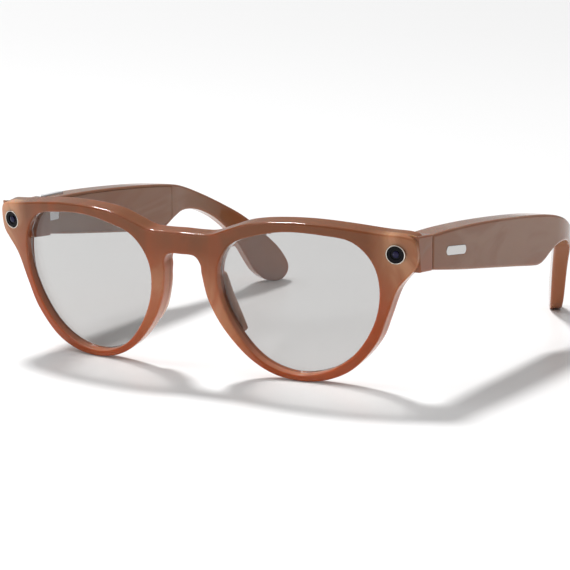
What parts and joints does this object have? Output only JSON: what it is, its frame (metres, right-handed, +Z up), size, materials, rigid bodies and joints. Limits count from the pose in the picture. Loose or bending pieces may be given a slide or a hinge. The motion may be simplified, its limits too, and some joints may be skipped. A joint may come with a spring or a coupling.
{
  "type": "smart glasses",
  "caption": "Smart glasses with a camera and a capture light in the front's corners, folding temples that hold the electronics, a press button and a slide switch.",
  "frame": {"origin": "centre of the bounding box's bottom face, on the surface the glasses stand on", "axes": "+Z up, the lenses face -Y and the temples run back along +Y, +X is the wearer's left"},
  "size_m": [0.142, 0.1498, 0.0467],
  "materials": {
    "caramel_front": "polished translucent caramel brown",
    "caramel_back": "polished translucent mauve brown",
    "lens": "light grey tint",
    "pad": "milky clear",
    "bright_metal": "polished",
    "dark_window": "polished black",
    "steel": "satin",
    "button_metal": "satin",
    "module_black": "matt",
    "flex": "amber film",
    "board": "solder mask",
    "can": "tinned sheet",
    "gold": "plated",
    "cell_wrap": "foil pouch",
    "mesh_cloth": "fine woven mesh",
    "diffuser": "milky"
  },
  "bodies": {
    "front": {"front_shell": "caramel_front", "rear_shell": "caramel_back", "left_lens": "lens", "right_lens": "lens", "left_nose_pad": "pad", "right_nose_pad": "pad", "camera_bezel": "bright_metal", "camera_window": "dark_window", "camera_module": "module_black", "light_bezel": "bright_metal", "light_window": "dark_window", "capture_light": "diffuser", "front_flex": "flex", "bridge_microphone": "can", "charging_contacts": "gold", "left_front_hinge_leaf": "steel", "right_front_hinge_leaf": "steel", "left_hinge_pin": "steel", "right_hinge_pin": "steel", "left_front_hinge_screws": "steel", "right_front_hinge_screws": "steel"},
    "left_temple": {"left_temple_shell": "caramel_back", "left_temple_cover": "caramel_back", "left_temple_hinge_leaf": "steel", "left_temple_hinge_screws": "steel", "left_core_wire": "steel", "left_inlay": "bright_metal", "battery": "cell_wrap", "left_speaker": "module_black", "left_speaker_mesh": "mesh_cloth", "left_microphone": "can", "left_temple_flex": "flex", "switch_board": "board"},
    "right_temple": {"right_temple_shell": "caramel_back", "right_temple_cover": "caramel_back", "right_temple_hinge_leaf": "steel", "right_temple_hinge_screws": "steel", "right_core_wire": "steel", "right_inlay": "bright_metal", "main_board": "board", "shield_can": "can", "touch_sensor": "flex", "antenna": "gold", "right_speaker": "module_black", "right_speaker_mesh": "mesh_cloth", "right_microphone": "can", "right_temple_flex": "flex", "button_dome": "module_black", "status_light": "diffuser"},
    "power_switch": {"power_switch": "module_black"},
    "capture_button": {"capture_button": "button_metal"}
  },
  "joints": [
    {"name": "left_fold", "type": "hinge", "parent": "front", "child": "left_temple", "pos_m": [0.0612, -0.05432, 0.0382], "axis": [0, 0, 1], "range_deg": [0, 86]},
    {"name": "right_fold", "type": "hinge", "parent": "front", "child": "right_temple", "pos_m": [-0.0612, -0.05432, 0.0382], "axis": [0, 0, -1], "range_deg": [0, 60]},
    {"name": "switch_slide", "type": "slide", "parent": "left_temple", "child": "power_switch", "axis": [0.0227, 0.9997, 0], "range_m": [0, 0.002]},
    {"name": "capture_press", "type": "slide", "parent": "right_temple", "child": "capture_button", "axis": [0, 0, -1], "range_m": [0, 0.0004], "stiffness_N_per_m": 1200, "springref_m": -0.0002}
  ]
}
